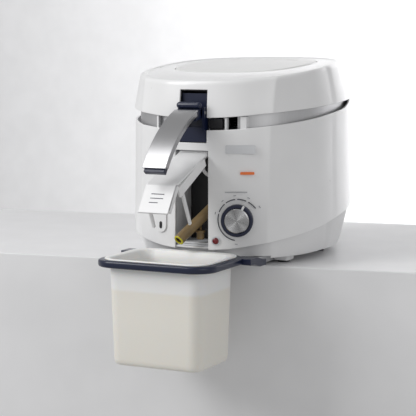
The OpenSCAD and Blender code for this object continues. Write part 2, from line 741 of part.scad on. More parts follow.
// Rounded rectangles that taper down to the container's floor
tub_taper = 4;
tub_r = 18;
function round_ring(w, d, r, z) = [for (q = [0:3], i = [0:8])
    let (a = q * 90 + i * 11.25, sx = q == 0 || q == 3 ? 1 : -1, sy = q < 2 ? 1 : -1)
    [sx * (w / 2 - r) + r * cos(a), tub_y + sy * (d / 2 - r) + r * sin(a), z]];
function tub_ring(grow, z) = round_ring(tub_w + 2 * grow, tub_d + 2 * grow, tub_r + grow, z);
tub_low = tub_top - tub_h;
module oil_container() color([0.95, 0.95, 0.93, 0.7]) difference() {
    union() {
        loft([tub_ring(-tub_taper - 6, tub_low), tub_ring(-tub_taper - 1.5, tub_low + 2),
            tub_ring(-tub_taper, tub_low + 7), tub_ring(0, tub_top - 2), tub_ring(0, tub_top)]);
        loft([tub_ring(-1, tub_top - 2), tub_ring(flange_w, tub_top - 2),
            tub_ring(flange_w, tub_top), tub_ring(-1, tub_top)]);
    }
    loft([tub_ring(-tub_taper - 7, tub_low + 2), tub_ring(-tub_taper - 3, tub_low + 3.5),
        tub_ring(-tub_taper - tub_wall, tub_low + 8), tub_ring(-tub_wall, tub_top - 2),
        tub_ring(-tub_wall, tub_top + 5)]);
}

module tray_frame() color(navy) union() {
    translate([0, tub_y, frame_z]) linear_extrude(frame_h) difference() {
        round_rect(tub_w + 29, tub_d + 23, 28);
        round_rect(tub_w + 1, tub_d + 1, tub_r + 0.5);
    }
    for (x = [-1, 1])
        intersection() {
            block([x * 80 - 16, -180, guide_z], [x * 80 + 16, -48, 17]);
            side_prism([[-180, 9], [-168, 9], [-150, guide_z], [-50, guide_z], [-50, guide_z + arm_h],
                [-140, guide_z + arm_h], [-158, 17], [-180, 17]]);
            union() {
                block([x * 73 - 6, -164, 0], [x * 73 + 6, -48, 20]);
                linear_extrude(20) polygon([[x * 70, -180], [x * 94, -180], [x * 94, -160],
                    [x * 82, -132], [x * 70, -132]]);
            }
        }
}

body_shell();
front_posts();
collar();
top_deck();
base_shell();
base_grille();
feet();
tray_guides();
base_screws();
rear_housing();
cord_gland();
hinge_pin();
compartment_wall();
compartment_back();
hose_hook();
hook_ring();
door_catch();
front_pins();
bowl();
heater();
drain_outlet();
shaft_seal();
motor();
thermostat();
lamp_bezel();
lamp_lens();
dial_scale();
badge_plate();
emblem();
handle_bracket();
lift_rails();
catch_housing();
release_button();
lid_shell();
lid_hinge_arms();
lid_liner();
lid_gasket();
lid_hook();
filter_tray();
filter_pad();
filter_cover();
handle_arm();
handle_cap();
handle_bar();
lift_carriage();
carrier_ring();
basket();
basket_hub();
drive_spindle();
drive_gear();
motor_pinion();
drain_door();
door_fingers();
knob_ring();
knob_disc();
knob_shaft();
drain_hose();
hose_stopper();
oil_container();
tray_frame();
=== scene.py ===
import math

import bpy
import numpy as np
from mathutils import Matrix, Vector


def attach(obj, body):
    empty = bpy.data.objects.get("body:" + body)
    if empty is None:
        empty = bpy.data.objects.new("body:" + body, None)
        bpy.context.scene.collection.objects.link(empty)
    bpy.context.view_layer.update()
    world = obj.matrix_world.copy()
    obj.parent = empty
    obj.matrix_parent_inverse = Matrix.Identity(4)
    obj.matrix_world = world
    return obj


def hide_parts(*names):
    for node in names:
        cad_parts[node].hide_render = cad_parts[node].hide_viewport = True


bl_info = {
    "name": "Oval deep fryer",
    "version": (1, 0, 0),
    "blender": (4, 5, 0),
    "location": "3D View > Sidebar > Fryer",
    "description": "Builds a compact deep fryer with lid, lever, drain door and oil container",
    "category": "Add Mesh",
}

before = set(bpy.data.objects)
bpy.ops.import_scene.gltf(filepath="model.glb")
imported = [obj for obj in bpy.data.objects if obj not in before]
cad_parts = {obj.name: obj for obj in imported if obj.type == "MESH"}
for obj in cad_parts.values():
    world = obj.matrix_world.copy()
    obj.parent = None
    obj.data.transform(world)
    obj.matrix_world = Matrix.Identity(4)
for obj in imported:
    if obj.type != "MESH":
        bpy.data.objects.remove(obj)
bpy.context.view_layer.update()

MM = 0.001
HALF_W, HALF_D = 137.5, 159.0        # half axes of the oval plan
SQUARE = 2.5                         # squareness of the oval
OPEN_L, OPEN_R, OPEN_TOP = -25.0, 23.0, 150.0     # drain opening
POCKET_L, POCKET_R, POCKET_TOP = -19.0, 21.0, 228.0   # lid pocket round the lever
SLOT_L, SLOT_R, SLOT_LOW = -19.0, 21.0, 160.0     # gap in the body for the lever's bracket
CREASES = ((98.0, 95.0), (-85.0, -88.0))          # x of the corner lines at the lid and the foot
TUB_Y, TUB_TOP, TUB_H = -217.0, 20.0, 137.0
TUB_W, TUB_D = 135.0, 101.0
TILT = math.radians(6)
KNOB = (61.4, 62.0)
LAMP = (33.7, 34)                    # x and z of the lamp on the front
PLATE = (64, 152.5)                  # x and z of the blank plate
ACCENT = (72.5, 122)                 # x and z of the accent bar
BORE_R = 4.5                         # bore of the hose
EDGE_FALL = (59, 404)                # the worktop's edge: rise in y over run in x
EDGE_POINT = np.array((-3.0, -129.0))
WORKTOP_HALF, WORKTOP_DEPTH = 1500, 493
WALL_Y, WALL_HALF, WALL_LOW, WALL_TOP = 2600, 4000, -2500, 1700
HANDLE_X, ARC_Y, ARC_Z, ARC_R = 1.0, -115.0, 35.0, 179.0
HOSE = ((-8, -181, 35), (-5, -173, 41), (1, -162, 50), (8, -148, 61), (15, -132, 73),
        (20, -116, 82), (22, -100.6, 86))
HOSE_R = 7.0


# ---- settings ------------------------------------------------------------------------------

def colour(name, text, value):
    """A colour setting with its default."""
    return bpy.props.FloatVectorProperty(name=name, description=text, subtype="COLOR",
                                         size=3, min=0, max=1, default=value)


class FryerSizes(bpy.types.PropertyGroup):
    """Sizes a maker might change."""
    edge: bpy.props.FloatProperty(
        name="Moulded edge", description="Radius of the edges of the white covers",
        default=0.0009, min=0.0002, max=0.002, unit="LENGTH", subtype="DISTANCE")
    wall: bpy.props.FloatProperty(
        name="Wall", description="Thickness of the white covers",
        default=0.0028, min=0.002, max=0.003, unit="LENGTH", subtype="DISTANCE")
    columns: bpy.props.IntProperty(
        name="Columns", description="Steps round the oval covers",
        default=288, min=96, max=512)
    oil_level: bpy.props.FloatProperty(
        name="Oil level", description="Height of the oil in the container, from the feet",
        default=-0.020, min=-0.10, max=0.01, unit="LENGTH", subtype="DISTANCE")


class FryerColours(bpy.types.PropertyGroup):
    """Colours a maker might change."""
    white: colour("White", "Body, lid and door", (0.86, 0.86, 0.865))
    off_white: colour("Off white", "Filter cover", (0.80, 0.80, 0.795))
    grey: colour("Grey", "Base and inner walls", (0.66, 0.67, 0.69))
    navy: colour("Navy", "Knob ring, lever and frame", (0.007, 0.012, 0.040))
    black: colour("Black", "Inner covers", (0.012, 0.012, 0.014))
    milky: colour("Milky", "Container above the oil", (0.90, 0.90, 0.89))
    oily: colour("Oil behind the wall", "Container below the oil's surface", (0.86, 0.835, 0.77))
    amber: colour("Amber", "Hose", (0.21, 0.145, 0.065))
    orange: colour("Orange", "Emblem", (0.86, 0.20, 0.05))


def sizes():
    return bpy.context.scene.fryer_sizes


def colours():
    return bpy.context.scene.fryer_colours


# ---- materials -----------------------------------------------------------------------------

def nodes_of(name):
    """A fresh material with its tree, principled shader and object coordinates."""
    mat = bpy.data.materials.new(name)
    mat.use_nodes = True
    tree = mat.node_tree
    shader = tree.nodes["Principled BSDF"]
    place = tree.nodes.new("ShaderNodeTexCoord").outputs["Object"]
    return mat, tree, shader, place


def link(tree, source, target):
    tree.links.new(source, target)


def noise(tree, place, scale, detail=3.0, stretch=None):
    """Noise on object coordinates, stretched along an axis when asked."""
    if stretch:
        spread = tree.nodes.new("ShaderNodeMapping")
        spread.inputs["Scale"].default_value = stretch
        link(tree, place, spread.inputs["Vector"])
        place = spread.outputs["Vector"]
    node = tree.nodes.new("ShaderNodeTexNoise")
    node.inputs["Scale"].default_value = scale
    node.inputs["Detail"].default_value = detail
    link(tree, place, node.inputs["Vector"])
    return node.outputs["Fac"]


def ramp(tree, source, stops):
    """Colours along a 0 to 1 value."""
    node = tree.nodes.new("ShaderNodeValToRGB")
    bar = node.color_ramp.elements
    for i, (at, shade) in enumerate(stops):
        stop = bar[i] if i < 2 else bar.new(at)
        stop.position = at
        stop.color = (*shade, 1.0)
    link(tree, source, node.inputs["Fac"])
    return node.outputs["Color"]


def span(tree, source, low, high):
    """Maps a 0 to 1 value onto low to high."""
    node = tree.nodes.new("ShaderNodeMapRange")
    node.inputs["To Min"].default_value = low
    node.inputs["To Max"].default_value = high
    link(tree, source, node.inputs["Value"])
    return node.outputs["Result"]


def relief(tree, shader, source, strength, distance):
    node = tree.nodes.new("ShaderNodeBump")
    node.inputs["Strength"].default_value = strength
    node.inputs["Distance"].default_value = distance
    link(tree, source, node.inputs["Height"])
    link(tree, node.outputs["Normal"], shader.inputs["Normal"])


def tint(base, k):
    return tuple(min(1.0, max(0.0, v * k)) for v in base)


def plastic(name, base, rough=0.35, coat=0.0, grain=0.15):
    """Moulded plastic: a little cloud in the colour, uneven gloss and a fine grain."""
    mat, tree, shader, place = nodes_of(name)
    cloud = noise(tree, place, 14, 2)
    link(tree, ramp(tree, cloud, [(0.3, tint(base, 0.975)), (0.7, tint(base, 1.02))]),
         shader.inputs["Base Color"])
    link(tree, span(tree, noise(tree, place, 90, 2), rough - 0.05, rough + 0.05),
         shader.inputs["Roughness"])
    relief(tree, shader, noise(tree, place, 1500, 2), grain, 0.00004)
    shader.inputs["Coat Weight"].default_value = coat
    shader.inputs["Coat Roughness"].default_value = 0.12
    return mat


def metal(name, base, rough=0.3, stretch=(1, 1, 1), streak=0.12, uneven=0.05):
    """Drawn or brushed metal: fine streaks along one axis in the colour and the gloss."""
    mat, tree, shader, place = nodes_of(name)
    shader.inputs["Metallic"].default_value = 1.0
    lines = noise(tree, place, 900, 3, stretch)
    link(tree, ramp(tree, lines, [(0.25, tint(base, 1 - streak)), (0.75, tint(base, 1 + streak))]),
         shader.inputs["Base Color"])
    link(tree, span(tree, lines, rough - uneven, rough + uneven), shader.inputs["Roughness"])
    relief(tree, shader, lines, streak, 0.00002)
    return mat


def turned_metal(name, base, centre, turn):
    """Metal turned on a lathe: rings about the knob's axis and a sheen that runs round them."""
    mat, tree, shader, place = nodes_of(name)
    shader.inputs["Metallic"].default_value = 1.0
    mapping = tree.nodes.new("ShaderNodeMapping")
    mapping.vector_type = "TEXTURE"
    mapping.inputs["Location"].default_value = centre
    mapping.inputs["Rotation"].default_value = (math.radians(90), 0, turn)
    link(tree, place, mapping.inputs["Vector"])
    rings = tree.nodes.new("ShaderNodeTexWave")
    rings.wave_type = "RINGS"
    rings.rings_direction = "Z"
    rings.inputs["Scale"].default_value = 900
    rings.inputs["Distortion"].default_value = 0.6
    link(tree, mapping.outputs["Vector"], rings.inputs["Vector"])
    # painted highlights: the angle round the centre picks lighter and darker shades of the colour,
    # as the turned sheen would fall
    highlight_angle = tree.nodes.new("ShaderNodeTexGradient")
    highlight_angle.gradient_type = "RADIAL"
    link(tree, mapping.outputs["Vector"], highlight_angle.inputs["Vector"])
    painted_highlights = [(0.0, 0.55), (0.07, 0.62), (0.13, 0.95), (0.22, 0.60), (0.30, 0.42), (0.38, 0.75),
              (0.45, 0.50), (0.55, 0.62), (0.63, 1.0), (0.72, 0.62), (0.80, 0.42),
              (0.88, 0.72), (0.94, 0.5), (1.0, 0.55)]
    link(tree, ramp(tree, highlight_angle.outputs["Fac"], [(at, tint(base, k)) for at, k in painted_highlights]),
         shader.inputs["Base Color"])
    shader.inputs["Anisotropic"].default_value = 0.6
    link(tree, span(tree, rings.outputs["Fac"], 0.24, 0.38), shader.inputs["Roughness"])
    relief(tree, shader, rings.outputs["Fac"], 0.25, 0.00003)
    return mat


def rubbery(name, base, rough=0.55, clear=0.0):
    """Soft moulded rubber or silicone, a little cloudy."""
    mat, tree, shader, place = nodes_of(name)
    cloud = noise(tree, place, 60, 4)
    link(tree, ramp(tree, cloud, [(0.25, tint(base, 0.8)), (0.75, tint(base, 1.2))]),
         shader.inputs["Base Color"])
    link(tree, span(tree, noise(tree, place, 200, 2), rough - 0.1, rough + 0.1),
         shader.inputs["Roughness"])
    shader.inputs["Subsurface Weight"].default_value = clear
    shader.inputs["Subsurface Radius"].default_value = (0.004, 0.003, 0.0015)
    relief(tree, shader, noise(tree, place, 700, 2), 0.2, 0.00005)
    return mat


def milky_wall(name, dry, wet, level):
    """Milky container wall: the oil behind it shows as a warmer shade under its level."""
    mat, tree, shader, place = nodes_of(name)
    parts = tree.nodes.new("ShaderNodeSeparateXYZ")
    link(tree, place, parts.inputs["Vector"])
    height = tree.nodes.new("ShaderNodeMapRange")
    height.inputs["From Min"].default_value = level - 0.002
    height.inputs["From Max"].default_value = level + 0.002
    link(tree, parts.outputs["Z"], height.inputs["Value"])
    band = ramp(tree, height.outputs["Result"], [(0.0, wet), (1.0, dry)])
    cloud = ramp(tree, noise(tree, place, 9, 2), [(0.2, (0.97, 0.97, 0.97)), (0.8, (1, 1, 1))])
    mix = tree.nodes.new("ShaderNodeMix")
    mix.data_type = "RGBA"
    mix.blend_type = "MULTIPLY"
    mix.inputs["Factor"].default_value = 1.0
    link(tree, band, mix.inputs["A"])
    link(tree, cloud, mix.inputs["B"])
    link(tree, mix.outputs["Result"], shader.inputs["Base Color"])
    link(tree, span(tree, noise(tree, place, 120, 2), 0.32, 0.42), shader.inputs["Roughness"])
    shader.inputs["Subsurface Weight"].default_value = 0.35
    shader.inputs["Subsurface Radius"].default_value = (0.006, 0.005, 0.004)
    relief(tree, shader, noise(tree, place, 800, 2), 0.1, 0.00005)
    return mat


MATERIALS = {}


def finish(name):
    """The finish of that name, made once."""
    if not MATERIALS:
        c = colours()
        knob_turn = front_turn(KNOB[0])
        centre = tuple(v * MM for v in (KNOB[0], front_y(KNOB[0]), KNOB[1]))
        MATERIALS.update({
            "white_body": plastic("white_body", tuple(c.white), 0.30, 0.25, 0.08),
            "white_matte": plastic("white_matte", tint(c.white, 0.94), 0.45),
            "grey_plastic": plastic("grey_plastic", tuple(c.grey), 0.45),
            "navy_plastic": plastic("navy_plastic", tuple(c.navy), 0.32, 0.1),
            "black_plastic": plastic("black_plastic", tuple(c.black), 0.4),
            "dim_metal": metal("dim_metal", (0.62, 0.62, 0.63), 0.42, (1, 1, 0.05), 0.04),
            "silver_paint": metal("silver_paint", (0.50, 0.50, 0.51), 0.30, (1, 1, 1), 0.02, 0.02),
            "turned_silver": turned_metal("turned_silver", (0.80, 0.80, 0.81), centre, knob_turn),
            "bright_steel": metal("bright_steel", (0.66, 0.66, 0.67), 0.25, (0.05, 1, 1)),
            "coated_aluminium": metal("coated_aluminium", (0.07, 0.07, 0.075), 0.42),
            "aluminium": metal("aluminium", (0.62, 0.62, 0.63), 0.33),
            "brass": metal("brass", (0.62, 0.46, 0.20), 0.3),
            "rubber": rubbery("rubber", (0.03, 0.03, 0.032), 0.6),
            "hose_silicone": rubbery("hose_silicone", tuple(c.amber), 0.38, 0.2),
            "oil_film": rubbery("oil_film", (0.62, 0.56, 0.02), 0.12, 0.2),
            "filter_foam": rubbery("filter_foam", (0.09, 0.09, 0.09), 0.9),
            "cover_plastic": plastic("cover_plastic", tuple(c.off_white), 0.38),
            "container_plastic": milky_wall("container_plastic", tuple(c.milky), tuple(c.oily),
                                            sizes().oil_level),
            "lamp_red": plastic("lamp_red", (0.17, 0.006, 0.012), 0.12, 0.8),
            "orange_print": plastic("orange_print", tuple(c.orange), 0.4),
            "ink": plastic("ink", (0.025, 0.028, 0.05), 0.4),
            "pale_ink": plastic("pale_ink", (0.42, 0.43, 0.45), 0.5),
            "gear_plastic": plastic("gear_plastic", (0.72, 0.67, 0.55), 0.45),
            "stage_top": plastic("stage_top", (0.80, 0.80, 0.81), 0.5),
        })
    return MATERIALS[name]


# ---- surfaces ------------------------------------------------------------------------------

def place_piece(name, points, faces, mat, body, stands_for=(), edge=0.0, wall=0.0,
                sharp=32.0):
    """Makes the piece from points in millimetres, gives it its finish and lets it ride."""
    mesh = bpy.data.meshes.new(name)
    mesh.from_pydata((np.asarray(points, float) * MM).tolist(), [], faces)
    mesh.validate()
    mesh.shade_smooth()
    mesh.set_sharp_from_angle(angle=math.radians(sharp))
    mesh.materials.append(finish(mat))
    piece = bpy.data.objects.new(name, mesh)
    bpy.context.scene.collection.objects.link(piece)
    if wall:
        thick = piece.modifiers.new("Wall", "SOLIDIFY")
        thick.thickness = wall
        thick.offset = -1
    if edge:
        round_off = piece.modifiers.new("Edge", "BEVEL")
        round_off.width = edge
        round_off.segments = 3
        round_off.limit_method = "ANGLE"
        round_off.angle_limit = math.radians(sharp)
        round_off.harden_normals = True
    if stands_for:
        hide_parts(*stands_for)
    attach(piece, body)
    return piece


def grid_faces(rows, cols, wrap=True):
    """Quads between rows of points, wrapped round the columns when the rows are closed."""
    last = cols if wrap else cols - 1
    r, c = np.meshgrid(np.arange(rows - 1), np.arange(last), indexing="ij")
    r, c = r.ravel(), c.ravel()
    nxt = (c + 1) % cols
    return np.stack([r * cols + c, r * cols + nxt, (r + 1) * cols + nxt, (r + 1) * cols + c], 1)


def loft(rings, caps=True):
    """Points and faces of closed rings of equal length stacked into a tube, capped when asked."""
    rings = np.asarray(rings, float)
    rows, cols = rings.shape[:2]
    faces = grid_faces(rows, cols).tolist()
    if caps:
        faces.append(list(range(cols))[::-1])
        faces.append(list(range((rows - 1) * cols, rows * cols)))
    return rings.reshape(-1, 3), faces


def oval(a, b, t, n=SQUARE):
    """Superellipse: each axis times the cosine or sine raised to 2/n, with its sign."""
    c, s = np.cos(t), np.sin(t)
    return (a * np.sign(c) * np.abs(c) ** (2 / n), b * np.sign(s) * np.abs(s) ** (2 / n))


def front_y(x, inset=0.0):
    """Y of the oval's front at x."""
    return -(HALF_D - inset) * (1 - (abs(x) / (HALF_W - inset)) ** SQUARE) ** (1 / SQUARE)


def front_turn(x):
    return math.atan2(front_y(x + 1) - front_y(x - 1), 2)


def seam_z(y):
    return 53 + 0.15 * y - 8 * np.exp(-(y + HALF_D) / 22)


def lid_low_z(y):
    return 207.6 + 0.058 * y - 6.4 * np.exp(-(y + HALF_D) / 25)


def body_top_z(y):
    rise = np.where(y > 20, 0.0024 * (y - 20) ** 2, 0)
    return np.minimum(195.7 + 0.098 * y - 3.7 * np.exp(-(y + HALF_D) / 30) + rise,
                      lid_low_z(y) - 0.8)


def climb(y):
    """Rise of the lid's rim towards the rear, easing off."""
    return 0.085 * y - 0.00015 * y * y


def columns(cuts):
    """Angles round the oval, evenly spaced, with one placed at each cut's x on the front."""
    t = np.linspace(0, 2 * math.pi, sizes().columns, endpoint=False)
    extra = [2 * math.pi - math.acos(math.copysign((abs(x) / HALF_W) ** (SQUARE / 2), x))
             for x in cuts]
    t = np.array([v for v in t if min(abs(v - e) for e in extra) > 0.004])
    return np.sort(np.concatenate([t, extra]))


def crease(x, y, z):
    """Draws the wall in a little beside each corner line, so that a soft ridge runs up it."""
    k = np.clip((z - 50) / 120, -0.5, 1.8)
    pull = np.zeros_like(x)
    for top, foot in CREASES:
        line = foot + (top - foot) * k
        away = np.abs(x - line) / 13
        pull += np.where(y < 0, 1.9 * away * np.exp(1 - away), 0)
    length = np.hypot(x, y)
    return x * (1 - pull / length), y * (1 - pull / length)


def narrow(x, z):
    """Draws the sides in towards the top: the wall leans in about one degree."""
    return x * (1 - 0.015 * np.clip((z - 60) / 130, 0, 1))


def oval_wall(t, inset, levels, shape=True):
    """Wall on the oval: the columns follow the angle and the rows the given heights."""
    x0, y0 = oval(HALF_W - inset, HALF_D - inset, t)
    rows = []
    for level in levels:
        z = np.broadcast_to(level(y0) if callable(level) else level, x0.shape).astype(float)
        x, y = crease(x0, y0, z) if shape else (x0, y0)
        rows.append(np.stack([narrow(x, z) if shape else x, y, z], 1))
    return np.array(rows)


def between(v, low, high):
    return (v > low) & (v < high)


def prism_x(outline, x0, x1):
    """A side outline of (y, z) points carried along X."""
    outline = np.asarray(outline, float)
    area = np.sum(outline[:, 0] * np.roll(outline[:, 1], -1)
                  - outline[:, 1] * np.roll(outline[:, 0], -1))
    if area < 0:
        outline = outline[::-1]
    ring = [np.column_stack([np.full(len(outline), x), outline]) for x in (x0, x1)]
    return loft(ring)


def prism_z(outline, z0, z1):
    """A plan outline of (x, y) points, counterclockwise, raised from z0 to z1."""
    outline = np.asarray(outline, float)
    return loft([np.column_stack([outline, np.full(len(outline), z)]) for z in (z0, z1)])


def join(*parts):
    """Several meshes as one."""
    points, faces, base = [], [], 0
    for p, f in parts:
        points.append(np.asarray(p, float))
        faces += [[i + base for i in face] for face in f]
        base += len(p)
    return np.concatenate(points), faces


def rounded(w, d, r, steps=10):
    """Rounded rectangle, counterclockwise: a quarter circle at each corner."""
    a = np.linspace(0, math.pi / 2, steps)
    corners = [(w / 2 - r, d / 2 - r, 0), (-w / 2 + r, d / 2 - r, 1),
               (-w / 2 + r, -d / 2 + r, 2), (w / 2 - r, -d / 2 + r, 3)]
    return np.concatenate([np.column_stack([x + r * np.cos(a + q * math.pi / 2),
                                            y + r * np.sin(a + q * math.pi / 2)])
                           for x, y, q in corners])


def lathe(profile, steps=96):
    """A profile of (radius, height) points turned about Z, closed at its ends by small caps."""
    profile = np.asarray(profile, float)
    a = np.linspace(0, 2 * math.pi, steps, endpoint=False)
    rings = np.stack([np.column_stack([r * np.cos(a), r * np.sin(a), np.full(steps, h)])
                      for r, h in profile])
    return loft(rings)


def on_front(points, x, z, out=0.0):
    """Sets points made flat about Z onto the curved front: local Z points out of it."""
    p = np.asarray(points, float) + (0, 0, out)
    turn = front_turn(x)
    c, s = math.cos(turn), math.sin(turn)
    lx, ly = p[:, 0], -p[:, 2]
    return np.column_stack([x + c * lx - s * ly, front_y(x) + s * lx + c * ly, z + p[:, 1]])


def wrap_front(points, x, z, out):
    """Lays flat points on the curved front: x runs along the wall and Z stands off it."""
    p = np.asarray(points, float)
    px = x + p[:, 0] * math.cos(front_turn(x))
    y = np.array([front_y(v) for v in px])
    turn = np.array([front_turn(v) for v in px])
    off = p[:, 2] + out
    return np.column_stack([px + np.sin(turn) * off, y - np.cos(turn) * off, z + p[:, 1]])


def strip(path, half, depth=0.5):
    """A thin raised line along a flat path of (x, y) points."""
    path = np.asarray(path, float)
    along = np.gradient(path, axis=0)
    along /= np.linalg.norm(along, axis=1)[:, None]
    side = np.column_stack([-along[:, 1], along[:, 0]]) * half
    low, high = path - side, path + side
    zero, top = np.full(len(path), -0.4), np.full(len(path), depth)
    section = np.stack([np.column_stack([low, zero]), np.column_stack([high, zero]),
                        np.column_stack([high, top]), np.column_stack([low, top])], 1)
    return loft(section)


def arc(r, a0, a1, steps=24, centre=(0, 0)):
    a = np.radians(np.linspace(a0, a1, steps))
    return np.column_stack([centre[0] + r * np.cos(a), centre[1] + r * np.sin(a)])


# ---- white covers --------------------------------------------------------------------------

def make_body_cover():
    """Oval wall from the seam to the sloping top edge, open at the drain and the lever."""
    t = columns((OPEN_L, OPEN_R, SLOT_L, SLOT_R))
    levels = [seam_z, lambda y: seam_z(y) + 1.2]
    levels += [lambda y, k=k: seam_z(y) + (OPEN_TOP - seam_z(y)) * k
               for k in (0.2, 0.4, 0.6, 0.8)]
    levels += [OPEN_TOP, SLOT_LOW]
    levels += [lambda y, k=k: SLOT_LOW + (body_top_z(y) - SLOT_LOW) * k
               for k in (0.3, 0.6, 0.9, 1.0)]
    rows = oval_wall(t, 0.0, levels)
    flat = oval_wall(t, 0.0, levels, shape=False)
    points = rows.reshape(-1, 3)
    at = flat.reshape(-1, 3)
    faces = grid_faces(len(rows), len(t))
    middle = at[faces].mean(axis=1)
    front = middle[:, 1] < -100
    gone = front & ((between(middle[:, 0], OPEN_L, OPEN_R) & (middle[:, 2] < OPEN_TOP))
                    | (between(middle[:, 0], SLOT_L, SLOT_R) & (middle[:, 2] > SLOT_LOW)))
    place_piece("body_cover", points, faces[~gone].tolist(), "white_body", "fryer",
                ("body_shell",), sizes().edge, sizes().wall)


def lid_rings(t, closed_low):
    """Rings of the lid from its lower edge over the rim to the filter's opening."""
    _, y0 = oval(HALF_W, HALF_D, t)
    s = np.sin(t)

    def ring(front_in, rear_in, z):
        inset = front_in + (rear_in - front_in) * (1 + s) / 2
        x, y = oval(HALF_W - inset, HALF_D - inset, t)
        x, y = crease(x, y, z)
        return np.stack([x, y, z], 1)

    foot = 206 + 0.05 * y0
    top = 252 + climb(y0)
    rows = []
    for k in (0, 0.06, 0.35, 0.7, 1.0):
        z = closed_low + (POCKET_TOP - closed_low) * k
        f = np.clip((z - foot) / (top - foot), 0, 1)
        rows.append(ring(4 * f, 1 * (z > 200) + 15 * f, z))
    for k in (0.2, 0.5, 0.8, 1.0):
        z = POCKET_TOP + (top - POCKET_TOP) * k
        f = np.clip((z - foot) / (top - foot), 0, 1)
        rows.append(ring(4 * f, 1 + 15 * f, z))
    for fi, ri, z in ((4.4, 16.6, 253.6), (5.2, 17.8, 255.4), (6.6, 19.4, 256.8),
                      (8.8, 21.8, 257.7), (11, 24, 258.0), (12.6, 25.6, 257.6), (14, 27, 256.6)):
        rows.append(ring(fi, ri, z + climb(y0)))
    edge_x, edge_y = oval(92, 98, t)
    last = rows[-1]
    for k in (0.35, 0.7, 0.97, 1.0):
        x = last[:, 0] + (edge_x - last[:, 0]) * k
        y = last[:, 1] + (edge_y + 8 - last[:, 1]) * k
        z = 256.6 + climb(y) + 0.9 * k * (2 - k)
        rows.append(np.stack([x, y, z], 1))
    return np.array(rows)


def make_lid_cover():
    """Lid skin: leaning wall, soft bevelled rim and a top that rises to the filter's opening."""
    t = columns((POCKET_L, POCKET_R))
    _, y0 = oval(HALF_W, HALF_D, t)
    rows = lid_rings(t, lid_low_z(y0))
    points = rows.reshape(-1, 3)
    faces = grid_faces(len(rows), len(t))
    x0, _ = oval(HALF_W, HALF_D, t)
    flat_x = np.tile(x0, len(rows))[faces].mean(axis=1)
    middle = points[faces].mean(axis=1)
    gone = (middle[:, 1] < -100) & between(flat_x, POCKET_L, POCKET_R) \
        & (middle[:, 2] < POCKET_TOP)
    place_piece("lid_cover", points, faces[~gone].tolist(), "white_body", "lid",
                ("lid_shell",), sizes().edge, sizes().wall, sharp=40)


def make_lid_pocket():
    """Dark liner over the lever in the lid: two cheeks, a roof and a short back."""
    box = [(-154, 226.6), (-154, 227.6), (-132.4, 227.6), (-132.4, 215), (-133.2, 215),
           (-133.2, 226.6)]
    roof = prism_x(box, POCKET_L, POCKET_R)
    step = prism_x([(-141, 219.5), (-141, 220.3), (-134, 220.3), (-134, 219.5)],
                   POCKET_L + 0.5, POCKET_R - 0.5)
    cheeks = [prism_x([(-154, 196), (-154, 227), (-134, 227), (-134, 196)], x, x + 0.5)
              for x in (POCKET_L - 0.2, POCKET_R - 0.3)]
    p, f = join(roof, step, *cheeks)
    place_piece("lid_pocket", p, f, "black_plastic", "lid", edge=0.0002)
    p, f = prism_x([(-150, 223.2), (-150, 224), (-133, 224), (-133, 223.2)], POCKET_L + 3,
                   POCKET_R - 2)
    place_piece("lid_pocket_line", p, f, "grey_plastic", "lid")


def make_filter_cover():
    """Domed oval: height falls with the square of the distance; dimples press in at the rear."""
    rows, cols = 84, 288
    t = np.linspace(0, 2 * math.pi, cols, endpoint=False)
    ex, ey = oval(91.2, 97.2, t)
    k = np.linspace(0.002, 1, rows)[:, None]
    x, y = ex * k, ey * k + 8
    z = 260 + climb(y) - 2.0 * ((y - 8) / 100) ** 2 - 1.2 * (x / 92) ** 2
    z = z - 1.6 * np.clip((k - 0.965) / 0.035, 0, 1) ** 2
    for i in range(-3, 4):
        u = (x - i * 15) / 5.2
        v = (y - (78 - i * i * 1.2)) / 5.0
        z = z - 3.0 / (1 + (u * u + v * v) ** 3)
    top = np.stack([x, y, z], 2)
    under = top[-1].copy()
    under[:, 2] -= 3.2
    inner = under * (0.97, 0.97, 1) + (0, 0.24, 0)
    rings = np.concatenate([top[::1], [under], [inner]])[::-1]
    p, f = loft(rings)
    place_piece("filter_lid", p, f, "cover_plastic", "filter_cover",
                ("filter_cover",))


def make_inner_ring():
    """Collar the lid closes over: an upright oval band with gaps for the catch and lever."""
    t = columns((SLOT_L, SLOT_R, 22.3, 42.3, 47.0, 61.0))
    deck = [lambda y: 187 + math.tan(TILT) * y]
    for k in (0.3, 0.6, 1.0):
        deck.append(lambda y, k=k: 187 + math.tan(TILT) * y
                    + (lid_low_z(y) + 4 - 187 - math.tan(TILT) * y) * k)
    rows = oval_wall(t, 9.0, deck, shape=False)
    points = rows.reshape(-1, 3)
    faces = grid_faces(len(rows), len(t))
    x0, _ = oval(HALF_W, HALF_D, t)
    at = np.tile(x0, len(rows))[faces].mean(axis=1)
    middle = points[faces].mean(axis=1)
    gone = (middle[:, 1] < -100) & (between(at, SLOT_L, SLOT_R) | between(at, 22.3, 42.3)
                                    | between(at, 47, 61))
    place_piece("inner_ring", points, faces[~gone].tolist(), "dim_metal", "fryer",
                ("collar",), 0.0005, 0.0024)


